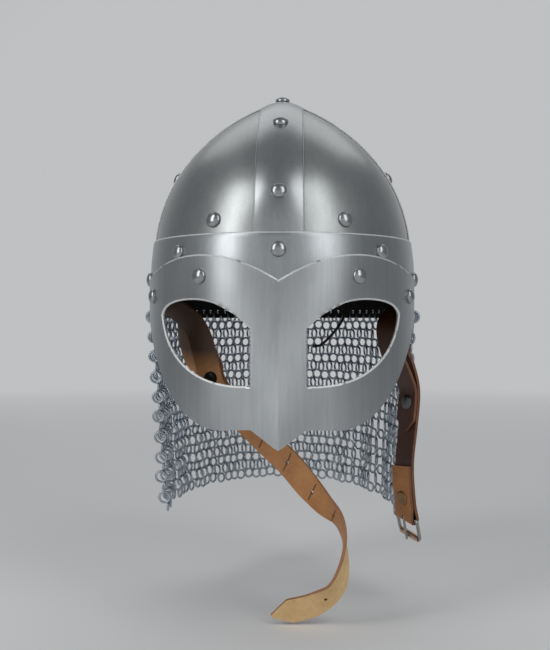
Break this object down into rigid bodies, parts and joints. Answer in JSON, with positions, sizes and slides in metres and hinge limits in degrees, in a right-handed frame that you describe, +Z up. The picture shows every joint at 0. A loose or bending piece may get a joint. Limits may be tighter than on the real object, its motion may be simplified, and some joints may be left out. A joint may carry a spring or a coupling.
{
  "type": "spectacle helmet",
  "caption": "Riveted steel spectacle helmet with banded dome, brow band, face mask, mail neck curtain, leather liner and forked chin straps with a roller buckle.",
  "frame": {"origin": "centre of the underside of the liner's crown disc, where a head carries the helmet", "axes": "+Z up through the crown, -Y out through the nose guard, +X toward the side with the buckle"},
  "size_m": [0.2148, 0.2523, 0.3931],
  "materials": {
    "helmet_steel": "satin brushed steel",
    "mask_steel": "satin brushed steel with bright cut edges",
    "rivet_steel": "polished domed heads",
    "mail_steel": "galvanised butted rings",
    "liner_leather": "dark oiled leather",
    "strap_leather": "dark brown grain with a tan flesh side",
    "buckle_nickel": "nickel plate",
    "roller_copper": "copper tinted plate"
  },
  "bodies": {
    "helmet": {"dome_plate_front_left": "helmet_steel", "dome_plate_front_right": "helmet_steel", "dome_plate_rear_left": "helmet_steel", "dome_plate_rear_right": "helmet_steel", "ridge_band": "helmet_steel", "side_band_left": "helmet_steel", "side_band_right": "helmet_steel", "brow_band": "helmet_steel", "spectacle_mask": "mask_steel", "mail_aventail": "mail_steel", "liner_band": "liner_leather", "liner_crown_disc": "liner_leather", "liner_lace": "liner_leather", "liner_tongue_front": "liner_leather", "liner_tongue_right": "liner_leather", "liner_tongue_rear": "liner_leather", "liner_tongue_left": "liner_leather", "strap_tab_front_left": "strap_leather", "strap_tab_front_right": "strap_leather", "strap_tab_rear_left": "strap_leather", "strap_tab_rear_right": "strap_leather", "rivet_crown": "rivet_steel", "rivet_ridge_front_upper": "rivet_steel", "rivet_ridge_front_lower": "rivet_steel", "rivet_ridge_rear_upper": "rivet_steel", "rivet_ridge_rear_lower": "rivet_steel", "rivet_brow_front_centre": "rivet_steel", "rivet_brow_front_left": "rivet_steel", "rivet_liner_front_left": "rivet_steel", "rivet_brow_front_right": "rivet_steel", "rivet_liner_front_right": "rivet_steel", "rivet_brow_rear_centre": "rivet_steel", "rivet_brow_rear_left": "rivet_steel", "rivet_liner_rear_left": "rivet_steel", "rivet_brow_rear_right": "rivet_steel", "rivet_liner_rear_right": "rivet_steel", "rivet_mask_inner_left": "rivet_steel", "rivet_mask_outer_left": "rivet_steel", "rivet_side_left": "rivet_steel", "rivet_strap_front_left": "rivet_steel", "rivet_strap_rear_left": "rivet_steel", "rivet_mask_inner_right": "rivet_steel", "rivet_mask_outer_right": "rivet_steel", "rivet_side_right": "rivet_steel", "rivet_strap_front_right": "rivet_steel", "rivet_strap_rear_right": "rivet_steel"},
    "chin_strap_left": {"chin_strap_left": "strap_leather", "chin_strap_left_leg": "strap_leather", "rivet_fork_left": "rivet_steel"},
    "chin_strap_right": {"chin_strap_right": "strap_leather", "chin_strap_right_leg": "strap_leather", "rivet_fork_right": "rivet_steel", "rivet_buckle_fold": "rivet_steel"},
    "buckle_frame": {"buckle_frame": "buckle_nickel"},
    "buckle_prong": {"buckle_prong": "buckle_nickel"},
    "buckle_roller": {"buckle_roller": "roller_copper"}
  },
  "joints": [
    {"name": "chin_strap_left_swing", "type": "hinge", "parent": "helmet", "child": "chin_strap_left", "pos_m": [-0.0971, 0, -0.1194], "axis": [0, -1, 0], "range_deg": [-2, 10]},
    {"name": "chin_strap_right_swing", "type": "hinge", "parent": "helmet", "child": "chin_strap_right", "pos_m": [0.0971, 0, -0.1194], "axis": [0, 1, 0], "range_deg": [0, 8]},
    {"name": "buckle_tilt", "type": "hinge", "parent": "chin_strap_right", "child": "buckle_frame", "pos_m": [0.09572, -0.02434, -0.29156], "axis": [-0.5684, 0.7938, 0.2164], "range_deg": [-15, 30]},
    {"name": "prong_lift", "type": "hinge", "parent": "buckle_frame", "child": "buckle_prong", "pos_m": [0.09572, -0.02434, -0.29156], "axis": [-0.5684, 0.7938, 0.2164], "range_deg": [0, 60]},
    {"name": "roller_spin", "type": "hinge", "parent": "buckle_frame", "child": "buckle_roller", "pos_m": [0.09898, -0.01783, -0.30691], "axis": [-0.5684, 0.7938, 0.2164], "continuous": true}
  ]
}
